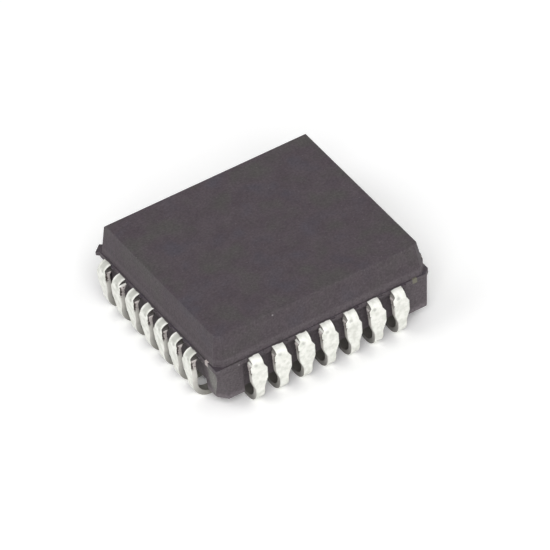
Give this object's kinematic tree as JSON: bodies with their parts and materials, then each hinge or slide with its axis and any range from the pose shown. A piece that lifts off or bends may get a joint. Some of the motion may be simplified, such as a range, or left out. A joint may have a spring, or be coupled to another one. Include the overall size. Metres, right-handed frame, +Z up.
{
  "type": "microcontroller chip",
  "caption": "Square plastic-moulded microcontroller chip with J-bent leads tucked under all four sides, one keyed corner and a sloped pin 1 edge.",
  "frame": {"origin": "on the seating plane that the lead feet stand on, under the middle of the package", "axes": "+Z up out of the bare top face, +Y towards the sloped edge with pin 1 in its middle, so the keyed corner is at -X +Y"},
  "size_m": [0.0124, 0.0124, 0.0044],
  "materials": {
    "moulding_compound": "silica-filled epoxy moulding compound, spark-eroded mould texture, purple-grey",
    "tin_plate": "matte tin plated over copper alloy strip, bare copper where the dam bars were sheared off after plating",
    "bare_lead_frame": "bare copper alloy strip, as rolled",
    "silver_epoxy": "silver-filled epoxy, cured dull",
    "silicon": "polished silicon under a passivation layer",
    "gold_wire": "drawn gold wire"
  },
  "bodies": {
    "root": {"moulded_body": "moulding_compound", "die_paddle": "bare_lead_frame", "die_attach": "silver_epoxy", "die": "silicon", "lead_01": "tin_plate", "lead_02": "tin_plate", "lead_03": "tin_plate", "lead_04": "tin_plate", "lead_05": "tin_plate", "lead_06": "tin_plate", "lead_07": "tin_plate", "lead_08": "tin_plate", "lead_09": "tin_plate", "lead_10": "tin_plate", "lead_11": "tin_plate", "lead_12": "tin_plate", "lead_13": "tin_plate", "lead_14": "tin_plate", "lead_15": "tin_plate", "lead_16": "tin_plate", "lead_17": "tin_plate", "lead_18": "tin_plate", "lead_19": "tin_plate", "lead_20": "tin_plate", "lead_21": "tin_plate", "lead_22": "tin_plate", "lead_23": "tin_plate", "lead_24": "tin_plate", "lead_25": "tin_plate", "lead_26": "tin_plate", "lead_27": "tin_plate", "lead_28": "tin_plate", "bond_wire_01": "gold_wire", "bond_wire_02": "gold_wire", "bond_wire_03": "gold_wire", "bond_wire_04": "gold_wire", "bond_wire_05": "gold_wire", "bond_wire_06": "gold_wire", "bond_wire_07": "gold_wire", "bond_wire_08": "gold_wire", "bond_wire_09": "gold_wire", "bond_wire_10": "gold_wire", "bond_wire_11": "gold_wire", "bond_wire_12": "gold_wire", "bond_wire_13": "gold_wire", "bond_wire_14": "gold_wire", "bond_wire_15": "gold_wire", "bond_wire_16": "gold_wire", "bond_wire_17": "gold_wire", "bond_wire_18": "gold_wire", "bond_wire_19": "gold_wire", "bond_wire_20": "gold_wire", "bond_wire_21": "gold_wire", "bond_wire_22": "gold_wire", "bond_wire_23": "gold_wire", "bond_wire_24": "gold_wire", "bond_wire_25": "gold_wire", "bond_wire_26": "gold_wire", "bond_wire_27": "gold_wire", "bond_wire_28": "gold_wire"}
  },
  "joints": []
}
